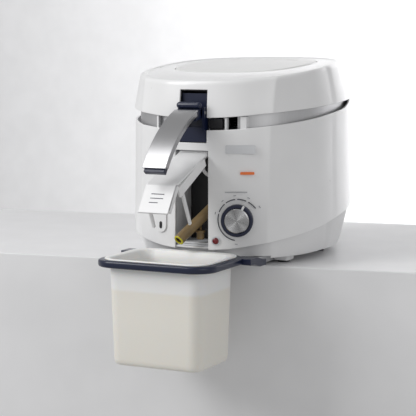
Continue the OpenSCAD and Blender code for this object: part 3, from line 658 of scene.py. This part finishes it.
def make_base_cover():
    """Foot of the body: the oval drawn in downwards, more at the rear, cut away for the frame."""
    t = columns((-101.0, 101.0))
    s = np.sin(t)
    table = ((10.5, 19, 10), (9.4, 17.6, 13), (7, 14, 22), (4, 7, 48), (2, 2, 95))
    rows = []
    _, y0 = oval(HALF_W, HALF_D, t)
    cap = seam_z(y0) + 1.5
    for fi, ri, z in table:
        inset = fi + (ri - fi) * (1 + s) / 2 + 0.4
        x, y = oval(HALF_W - inset, HALF_D - inset, t)
        low = np.minimum(z, cap)
        x, y = crease(x, y, low)
        rows.append(np.stack([x, y, low], 1))
    rows = np.array(rows)
    points = rows.reshape(-1, 3)
    faces = grid_faces(len(rows), len(t))
    x0, _ = oval(HALF_W, HALF_D, t)
    at = np.tile(x0, len(rows))[faces].mean(axis=1)
    middle = points[faces].mean(axis=1)
    gone = (middle[:, 1] < -84) & between(at, -101, 101) & (middle[:, 2] < 12)
    place_piece("base_cover", points, faces[~gone].tolist(), "white_matte", "fryer",
                ("base_shell",), 0.0005, 0.0024)
    p, f = prism_z(np.column_stack(oval(HALF_W - 16, HALF_D - 22, t)), 12, 15)
    blocks = [prism_z(rounded(20, 24, 3) + (x, y), 3, 15) for x in (-92, 92) for y in (-71, 48)]
    p, f = join((p, f), *blocks)
    place_piece("base_floor", p, f, "white_matte", "fryer", edge=0.0004)


def make_posts():
    """White posts between the body and the lid: short blocks that follow the oval."""
    parts = []
    for x, w in ((-55, 3), (45, 2.5), (66.5, 7)):
        xs = np.linspace(x - w / 2, x + w / 2, 5)
        outer = [(v, front_y(v, 3.0)) for v in xs]
        inner = [(v, front_y(v, 9.0)) for v in xs[::-1]]
        y = front_y(x)
        parts.append(prism_z(outer + inner, float(body_top_z(np.array(y))) - 8,
                             float(lid_low_z(np.array(y))) - 0.8))
    p, f = join(*parts)
    place_piece("lid_posts", p, f, "white_body", "fryer", ("front_posts",),
                0.0004)


# ---- controls and marks --------------------------------------------------------------------

def make_knob():
    """Knob: a turned ring with a rounded rim, a turned disc in it and a raised pointer."""
    ring = [(4, 0), (20.0, 0), (20.6, 0.5), (20.7, 9.6), (20.2, 10.5), (19.2, 11), (17.2, 11),
            (16.4, 10.6), (16.0, 9.8), (15.9, 7.2), (4, 7.2)]
    p, f = lathe(ring)
    place_piece("knob_rim", on_front(p, *KNOB, 2.4), f, "navy_plastic", "knob",
                ("knob_ring",))
    disc = [(0.2, 0), (15.8, 0), (15.8, 4.5), (15.4, 5.0), (14.6, 5.3), (13.9, 5.1), (7, 5.0),
            (0.2, 5.0)]
    p, f = lathe(disc)
    place_piece("knob_face", on_front(p, *KNOB, 9.6), f, "turned_silver", "knob",
                ("knob_disc", "knob_shaft"))
    a = math.radians(65)
    p, f = prism_z(rounded(8.4, 2.8, 1.2), 10.4, 11.9)
    along = p[:, 0] + 17.2
    turned = np.column_stack([along * math.cos(a) - p[:, 1] * math.sin(a),
                              along * math.sin(a) + p[:, 1] * math.cos(a), p[:, 2]])
    place_piece("knob_pointer", on_front(turned, *KNOB, 2.4), f, "white_body", "knob",
                edge=0.0003)


def make_lamp():
    """Indicator: a thin bezel and a domed red lens."""
    p, f = lathe([(4.4, -4), (4.9, -4), (5.0, 0.1), (5.9, 0.1), (5.9, 0.7), (5.4, 1.1),
                  (4.45, 1.1)], 64)
    place_piece("lamp_ring", on_front(p, *LAMP, 0), f[:-2], "grey_plastic", "fryer",
                ("lamp_bezel",))
    a = np.linspace(0, math.pi / 2, 12)
    dome = [(4.3, -4)] + [(4.3 * math.cos(v) + 0.01, 0.4 + 1.5 * math.sin(v)) for v in a]
    p, f = lathe(dome, 64)
    place_piece("lamp_dome", on_front(p, *LAMP, 0), f, "lamp_red", "fryer",
                ("lamp_lens",))


def make_marks():
    """Scale strokes and dashes, a blank plate and a plain accent bar."""
    ends = (267, 163, 130, 96, 65, 33)
    strokes = [strip(arc(26.6, a - 5, b + 1, 40), 0.55, 0.35) for a, b in zip(ends, ends[1:])]
    p, f = join(*strokes)
    place_piece("scale_strokes", wrap_front(p, *KNOB, 0), f, "ink", "fryer",
                ("dial_scale",))
    dashes = [strip(arc(31.5, a - 3, a + 3, 6), 0.5, 0.15) for a in (267, 165, 130, 97, 64, 32)]
    dashes.append(strip([(-17, 35.4), (-8, 35.6), (2, 35.8), (12, 35.6)], 0.55, 0.15))
    p, f = join(*dashes)
    place_piece("scale_dashes", wrap_front(p, *KNOB, 0), f, "pale_ink", "fryer")
    p, f = prism_z(rounded(38, 11, 1.5, 6), -0.4, 0.9)
    place_piece("blank_plate", wrap_front(p, *PLATE, 0), f, "grey_plastic", "fryer",
                ("badge_plate",))
    p, f = prism_z(rounded(18, 3.5, 1, 6), -0.4, 0.5)
    place_piece("accent_bar", wrap_front(p, *ACCENT, 0), f, "orange_print", "fryer",
                ("emblem",))


def make_catch():
    """Boss on the left pillar with a slot for the door's finger."""
    ring = np.concatenate([arc(9, 180, 360, 32), [(9, 24), (-9, 24)]])
    p, f = prism_z(ring, -0.4, 1.6)
    place_piece("finger_boss", wrap_front(p, -47, 50, 0), f, "white_body", "fryer",
                ("door_catch",), 0.0005)
    # painted shade: a black patch on the boss stands for the slot's dark hollow
    p, f = prism_z(np.concatenate([arc(2.2, 180, 360, 16), arc(2.2, 0, 180, 16,
                                                                (0, 5))]), 1.2, 1.75)
    place_piece("finger_slot_shade", wrap_front(p, -47, 48, 0), f, "black_plastic", "fryer")


# ---- lever and door ------------------------------------------------------------------------

def arc_band(r0, r1, a0, a1, steps=48):
    """Side outline of a band between two arcs about the lever's centre."""
    return np.concatenate([arc(r0, a0, a1, steps, (ARC_Y, ARC_Z)),
                           arc(r1, a1, a0, steps, (ARC_Y, ARC_Z))])


def make_lever():
    """Lever: a curved silver cap with drawn-down edges over a navy arm and its cross bar."""
    w = 16.5
    cap = [prism_x(arc_band(ARC_R - 2.5, ARC_R, 110, 146), HANDLE_X - w, HANDLE_X + w)]
    for side in (-1, 1):
        x = HANDLE_X + side * (w - 0.9)
        cap.append(prism_x(arc_band(ARC_R - 7.4, ARC_R - 2.4, 111, 145), x - 0.9, x + 0.9))
    p, f = join(*cap)
    place_piece("lever_cap", p, f, "silver_paint", "handle", ("handle_cap",),
                0.0007)
    arm = [prism_x(arc_band(ARC_R - 9.5, ARC_R - 2.6, 110, 147.4), HANDLE_X - 14.5,
                   HANDLE_X + 14.5),
           prism_x(arc_band(ARC_R - 12.5, ARC_R - 9.2, 124, 144), HANDLE_X - 10, HANDLE_X + 10),
           prism_x([(-178, 188), (-160, 192.5), (-155, 199), (-160, 204), (-176, 203)],
                   HANDLE_X - 15, HANDLE_X + 15)]
    a = np.linspace(0, 2 * math.pi, 48, endpoint=False)
    arm.append(prism_x(np.column_stack([-160 + 6.5 * np.cos(a), 199 + 6.5 * np.sin(a)]),
                       HANDLE_X - 15, HANDLE_X + 15))
    p, f = join(*arm)
    place_piece("lever_arm", p, f, "navy_plastic", "handle", ("handle_arm",),
                0.0008)
    b = np.linspace(0.05, math.pi - 0.05, 40)
    ends = np.where(b < math.pi / 2, HANDLE_X - 13.5, HANDLE_X + 13)
    rings = [np.column_stack([np.full(48, x - 4.4 * math.cos(v)),
                              -167.5 + 4.4 * math.sin(v) * np.cos(a),
                              208.4 + 4.4 * math.sin(v) * np.sin(a)])
             for v, x in zip(b, ends)]
    p, f = loft(rings)
    place_piece("lever_bar", p, f, "navy_plastic", "handle", ("handle_bar",))


def slab_line(a, b, t0, t1):
    """Side outline of a plate from a to b between two offsets, upwards positive."""
    a, b = np.asarray(a, float), np.asarray(b, float)
    d = (b - a) / np.linalg.norm(b - a)
    up = np.array([d[1], -d[0]])
    return [a + up * t0, b + up * t0, b + up * t1, a + up * t1]


def make_door():
    """Drain door: two plates that meet at a bend, deep side flanges, barrel and two fingers."""
    pivot, knee, tip = np.array((-150, 147)), np.array((-243, 111)), np.array((-264, 79))
    parts = [prism_x(slab_line(pivot, knee, -1.5, 1.5), -21, 21),
             prism_x(slab_line(knee + 0.8, tip, -1.5, 1.5), -21, 21)]
    for x in (-19.5, 19.5):
        parts.append(prism_x(slab_line(pivot + (-14, -5.4), knee + (8, -4), -12, 1),
                             x - 1.5, x + 1.5))
        parts.append(prism_x(slab_line(knee + (3, 3), tip + (2, 4), -8, 1), x - 1.5, x + 1.5))
    a = np.linspace(0, 2 * math.pi, 40, endpoint=False)
    barrel = np.column_stack([pivot[0] + 3.4 * np.cos(a), pivot[1] + 3.4 * np.sin(a)])
    parts.append(prism_x(barrel, -21, 21))
    p, f = join(*parts)
    place_piece("door_plate", p, f, "white_body", "door", ("drain_door",), 0.0007)
    fingers = [prism_x(outline, x - 1.6, x + 1.6) for x, outline in
               ((17.2, ((-228, 112), (-222, 114), (-195, 60), (-199, 58))),
                (-17.2, ((-251, 95), (-246, 98), (-227, 58), (-231, 56))))]
    p, f = join(*fingers)
    place_piece("door_pins", p, f, "white_matte", "door", ("door_fingers",),
                0.0008)
    d = (tip - knee) / np.linalg.norm(tip - knee)
    up = np.array([d[1], -d[0]])
    marks = []
    for path in (((-9, 12), (9, 12)), ((-9, 18), (9, 18)), ((-9, 24), (3, 24))):
        p, f = strip(path, 0.45, 0.25)
        place = knee + d * p[:, 1:2] + up * (1.5 + p[:, 2:3])
        marks.append((np.column_stack([p[:, 0], place]), f))
    p, f = join(*marks)
    place_piece("door_marks", p, f, "ink", "door")


# ---- hose ----------------------------------------------------------------------------------

def smooth_path(route, steps):
    """Catmull-Rom curve through the route's points, sampled evenly between them."""
    route = np.asarray(route, float)
    p = np.concatenate([[2 * route[0] - route[1]], route, [2 * route[-1] - route[-2]]])
    u = np.linspace(0, 1, steps, endpoint=False)[:, None]
    out = [0.5 * (2 * p[i] + (p[i + 1] - p[i - 1]) * u
                  + (2 * p[i - 1] - 5 * p[i] + 4 * p[i + 1] - p[i + 2]) * u ** 2
                  + (3 * p[i] - p[i - 1] - 3 * p[i + 1] + p[i + 2]) * u ** 3)
           for i in range(1, len(p) - 2)]
    return np.concatenate(out + [route[-1:]])


def tube(path, radii, sides=40):
    """Rings square to the path, one at each of its points, with the given radii."""
    path = np.asarray(path, float)
    along = np.gradient(path, axis=0)
    along /= np.linalg.norm(along, axis=1)[:, None]
    side = np.cross(along, (0, 0, 1.0))
    side /= np.linalg.norm(side, axis=1)[:, None]
    up = np.cross(side, along)
    a = np.linspace(0, 2 * math.pi, sides, endpoint=False)
    r = np.broadcast_to(radii, len(path))[:, None, None]
    return (path[:, None, :] + r * (np.cos(a)[None, :, None] * side[:, None, :]
                                    + np.sin(a)[None, :, None] * up[:, None, :]))


def make_hose():
    """Hose: a tube along its route whose mouth turns into the bore."""
    path = smooth_path(HOSE, 6)
    outer = tube(path, HOSE_R)
    bore = tube(path[[0, 1, 3, 5]], (BORE_R + 0.1, BORE_R, BORE_R, BORE_R))
    lip = tube(np.array([path[0], path[1]]), (6.4, HOSE_R))[:1]
    rings = np.concatenate([bore[::-1], lip, outer[1:]])
    p, f = loft(rings[::-1])
    hose = place_piece("oil_hose", p, f, "hose_silicone", "fryer",
                       ("drain_hose",))
    near = path[0] + (path[1] - path[0]) * 0.5
    lead = path[0] + (path[0] - near) * 0.35
    ring = tube(np.array([lead, path[0], near]), (5.4, 6.75, 7.05))
    film = np.concatenate([tube(np.array([path[0], near]), (4.45, 4.4))[::-1], ring])
    p, f = loft(film[::-1], caps=False)
    film_piece = place_piece("oil_rim", p, f, "oil_film", "fryer")
    plug = [(0.2, 34), (4.6, 34), (5, 34.5), (5, 42.9), (6.2, 43), (6.5, 43.5), (6.5, 45),
            (6.1, 45.4), (0.2, 45.4)]
    p, f = lathe(plug, 48)
    strap = prism_x([(-151, 45.2), (-148, 45.2), (-148, 53), (-151, 53)], -0.8, 0.8)
    p, f = join((p + (0, -150, 0), f), strap)
    stopper = place_piece("hose_plug", p + (8, 0, 0), f, "hose_silicone", "fryer",
                          ("hose_stopper",), 0.0004)


# ---- container and frame -------------------------------------------------------------------

def make_container():
    """Container: rounded rectangles that taper to a rounded floor, and a rolled flange."""
    steps = 14

    def ring(grow, z, r):
        plan = rounded(TUB_W + 2 * grow, TUB_D + 2 * grow, r, steps) + (0, TUB_Y)
        return np.column_stack([plan, np.full(len(plan), z)])

    low = TUB_TOP - TUB_H
    outer = [ring(-13, low, 9), ring(-9, low + 0.3, 11), ring(-6.4, low + 1.8, 13),
             ring(-4.9, low + 4.5, 15), ring(-4.1, low + 9, 16), ring(-2.4, low + 60, 17),
             ring(-0.6, TUB_TOP - 14, 18), ring(0, TUB_TOP - 2.6, 18),
             ring(5.6, TUB_TOP - 2.4, 23), ring(6.4, TUB_TOP - 1.9, 24.3),
             ring(6.5, TUB_TOP - 1.0, 24.5), ring(6.0, TUB_TOP - 0.2, 24),
             ring(4.8, TUB_TOP, 23), ring(2.5, TUB_TOP - 0.3, 21), ring(0.2, TUB_TOP - 0.9, 18.5),
             ring(-1.0, TUB_TOP - 2.2, 17.5), ring(-2.2, TUB_TOP - 14, 16.5),
             ring(-4.0, low + 60, 16), ring(-5.7, low + 9, 15), ring(-7.2, low + 5, 13),
             ring(-10, low + 2.6, 10.5), ring(-15, low + 2.2, 8)]
    p, f = loft(outer)
    place_piece("oil_tub", p, f, "container_plastic", "container",
                ("oil_container",), sharp=60)


def make_frame():
    """Pull-out frame: a rounded band round the container with two arms under the body."""
    outer = rounded(TUB_W + 29, TUB_D + 23, 28, 16) + (0, TUB_Y)
    inner = rounded(TUB_W + 1, TUB_D + 1, 18.5, 16) + (0, TUB_Y)

    def ring(plan, z, grow=0.0):
        middle = plan.mean(axis=0)
        away = plan - middle
        k = 1 + grow / np.linalg.norm(away, axis=1)[:, None]
        return np.column_stack([middle + away * k, np.full(len(plan), z)])

    rings = [ring(outer, 9, -2.4), ring(outer, 9.6, -0.8), ring(outer, 11, 0),
             ring(outer, 15.6, 0), ring(outer, 17, -0.6), ring(outer, 17.7, -2),
             ring(inner, 17.7, 1), ring(inner, 17.2, 0.2), ring(inner, 9.5, 0),
             ring(inner, 9, 0.6)]
    pts = np.array(rings)
    n = pts.shape[1]
    faces = grid_faces(len(rings), n).tolist()
    last = np.arange(n)
    closing = np.stack([(len(rings) - 1) * n + last, (len(rings) - 1) * n + (last + 1) % n,
                        (last + 1) % n, last], 1)
    band = (pts.reshape(-1, 3), faces + closing.tolist())
    arms = []
    wide = ((-180, 9), (-168, 9), (-150, 4), (-132, 4), (-132, 11.8), (-140, 12.2), (-158, 17),
            (-180, 17))
    slim = ((-162, 6.5), (-150, 4), (-48, 4), (-48, 11), (-140, 11), (-158, 16.2), (-162, 16.2))
    for s in (-1, 1):
        arms.append(prism_x(wide, *sorted((s * 70, s * 94))))
        arms.append(prism_x(slim, *sorted((s * 67, s * 79))))
    p, f = join(band, *arms)
    place_piece("pull_frame", p, f, "navy_plastic", "tray", ("tray_frame",),
                0.0007, sharp=50)


# ---- inside the opening --------------------------------------------------------------------

def make_opening_parts():
    """Hook and dark ring at the upper right of the drain opening, as arcs of flat section."""
    def ring(r0, r1, y0, y1):
        a = np.radians(np.linspace(90.5, 269.5, 40))
        section = np.stack([np.stack([OPEN_R + r * np.cos(a), np.full(40, y),
                                      131 + r * np.sin(a)], 1)
                            for r, y in ((r0, y0), (r1, y0), (r1, y1), (r0, y1))], 1)
        return loft(section)

    p, f = ring(12.1, 16.9, -146, -141)
    place_piece("hose_clip", p, f, "white_matte", "fryer", ("hose_hook",), 0.0006)
    p, f = ring(7.6, 11.7, -145, -141.2)
    place_piece("clip_pad", p, f, "black_plastic", "fryer", ("hook_ring",),
                0.0005)


CAD_FINISH = {
    "rear_housing": "white_body", "lid_hinge_arms": "white_body", "lid_hook": "white_matte",
    "lid_liner": "white_matte", "filter_tray": "white_matte", "top_deck": "grey_plastic",
    "base_grille": "grey_plastic", "tray_guides": "grey_plastic",
    "compartment_wall": "grey_plastic", "thermostat": "grey_plastic",
    "handle_bracket": "navy_plastic", "compartment_back": "black_plastic",
    "catch_housing": "black_plastic", "release_button": "black_plastic",
    "cord_gland": "black_plastic", "lift_carriage": "black_plastic",
    "basket_hub": "black_plastic", "base_screws": "bright_steel", "hinge_pin": "bright_steel",
    "front_pins": "bright_steel", "lift_rails": "bright_steel", "carrier_ring": "bright_steel",
    "drive_spindle": "bright_steel", "heater": "bright_steel", "motor": "bright_steel",
    "bowl": "coated_aluminium", "basket": "aluminium", "drain_outlet": "brass",
    "feet": "rubber", "lid_gasket": "rubber", "shaft_seal": "rubber",
    "filter_pad": "filter_foam", "drive_gear": "gear_plastic", "motor_pinion": "gear_plastic",
}


def finish_cad_parts():
    """Gives each part that is shown as designed its finish."""
    for name, mat in CAD_FINISH.items():
        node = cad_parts[name]
        node.data.materials.clear()
        node.data.materials.append(finish(mat))


# ---- stage ---------------------------------------------------------------------------------

def make_stage():
    """Worktop bar whose front edge passes under the fryer, a back wall, lights and camera."""
    turn = math.atan2(*EDGE_FALL)
    along = np.array((math.cos(turn), math.sin(turn)))
    deep = np.array((-along[1], along[0]))
    left, right = (EDGE_POINT + along * side * WORKTOP_HALF for side in (-1, 1))
    corners = [left, right, right + deep * WORKTOP_DEPTH, left + deep * WORKTOP_DEPTH]
    p, f = prism_z(corners, -WORKTOP_HALF, 0)
    top = place_stage("worktop", p, f, "stage_top")
    edge = top.modifiers.new("Edge", "BEVEL")
    edge.width = 0.0015
    edge.segments = 3
    p = np.array([(-WALL_HALF, WALL_Y, WALL_LOW), (WALL_HALF, WALL_Y, WALL_LOW),
                  (WALL_HALF, WALL_Y, WALL_TOP), (-WALL_HALF, WALL_Y, WALL_TOP)])
    place_stage("back_wall", p, [[0, 1, 2, 3]], "stage_top")
    world = bpy.data.worlds.new("Soft room")
    bpy.context.scene.world = world
    world.use_nodes = True
    world.node_tree.nodes["Background"].inputs["Color"].default_value = (1, 1, 1, 1)
    world.node_tree.nodes["Background"].inputs["Strength"].default_value = 0.43
    bpy.context.scene.view_settings.view_transform = "Standard"
    for name, place, size, power in (("Key", (-1.5, -1.7, 1.2), 1.0, 24),
                                     ("Overhead", (-0.75, -0.95, 1.5), 0.8, 6),
                                     ("Fill", (1.9, -1.2, 0.7), 1.2, 5),
                                     ("Wall light", (0.4, 1.4, 0.9), 1.6, 75)):
        data = bpy.data.lights.new(name, "AREA")
        data.size = size
        data.energy = power
        lamp = bpy.data.objects.new(name, data)
        lamp.location = place
        aim = (0, 0, 0.1) if name != "Wall light" else (-0.6, 2.6, 0.5)
        lamp.rotation_euler = direction(place, aim)
        bpy.context.scene.collection.objects.link(lamp)
    lens = bpy.data.cameras.new("Camera")
    lens.lens = 126.26
    lens.sensor_width = 36
    lens.clip_end = 20
    camera = bpy.data.objects.new("Camera", lens)
    camera.location = (0.8562, -1.8293, 0.285)
    camera.rotation_euler = (math.radians(90 - 6.375), 0, math.radians(26.5))
    bpy.context.scene.collection.objects.link(camera)
    bpy.context.scene.camera = camera


def place_stage(name, points, faces, mat):
    mesh = bpy.data.meshes.new(name)
    mesh.from_pydata((np.asarray(points, float) * MM).tolist(), [], faces)
    mesh.materials.append(finish(mat))
    obj = bpy.data.objects.new(name, mesh)
    bpy.context.scene.collection.objects.link(obj)
    return obj


def direction(place, aim):
    """Angles that point a light from its place at its aim."""
    return (Vector(aim) - Vector(place)).to_track_quat("-Z", "Y").to_euler()


# ---- operators and panel -------------------------------------------------------------------

STEPS = (
    ("body_cover", "Body cover", (make_body_cover, make_posts)),
    ("lid_cover", "Lid cover", (make_lid_cover, make_lid_pocket)),
    ("filter_cover", "Filter cover", (make_filter_cover,)),
    ("inner_ring", "Inner ring", (make_inner_ring,)),
    ("base", "Base", (make_base_cover,)),
    ("knob", "Knob", (make_knob,)),
    ("lamp", "Lamp", (make_lamp,)),
    ("marks", "Marks", (make_marks, make_catch)),
    ("lever", "Lever", (make_lever,)),
    ("door", "Drain door", (make_door,)),
    ("hose", "Oil hose", (make_hose,)),
    ("container", "Container", (make_container,)),
    ("pull_frame", "Pull-out frame", (make_frame,)),
    ("opening", "Opening parts", (make_opening_parts,)),
    ("cad_parts", "Parts as designed", (finish_cad_parts,)),
    ("stage", "Stage", (make_stage,)),
)


def operator_for(key, label, makers):
    """An operator that runs a step's makers."""
    def execute(self, context):
        for maker in makers:
            maker()
        return {"FINISHED"}

    return type(f"FRYER_OT_{key}", (bpy.types.Operator,), {
        "bl_idname": f"fryer.{key}", "bl_label": label,
        "__doc__": " ".join((maker.__doc__ or label).split(":")[0] for maker in makers),
        "execute": execute})


class FRYER_PT_panel(bpy.types.Panel):
    """Lists the fryer's pieces and settings."""
    bl_label = "Fryer"
    bl_idname = "FRYER_PT_panel"
    bl_space_type = "VIEW_3D"
    bl_region_type = "UI"
    bl_category = "Fryer"

    def draw(self, context):
        for key, label, _ in STEPS:
            self.layout.operator(f"fryer.{key}", text=label)
        for group in (context.scene.fryer_sizes, context.scene.fryer_colours):
            for name in group.bl_rna.properties.keys():
                if name not in ("rna_type", "name"):
                    self.layout.prop(group, name)


OPERATORS = [operator_for(*step) for step in STEPS]
CLASSES = [FryerSizes, FryerColours, *OPERATORS, FRYER_PT_panel]


def register():
    for cls in CLASSES:
        bpy.utils.register_class(cls)
    bpy.types.Scene.fryer_sizes = bpy.props.PointerProperty(type=FryerSizes)
    bpy.types.Scene.fryer_colours = bpy.props.PointerProperty(type=FryerColours)


def unregister():
    del bpy.types.Scene.fryer_colours
    del bpy.types.Scene.fryer_sizes
    for cls in reversed(CLASSES):
        bpy.utils.unregister_class(cls)


def main():
    """Registers the classes, builds every piece in order and writes both boxes."""
    register()
    for key, _, _ in STEPS:
        getattr(bpy.ops.fryer, key)()


if __name__ == "__main__":
    main()
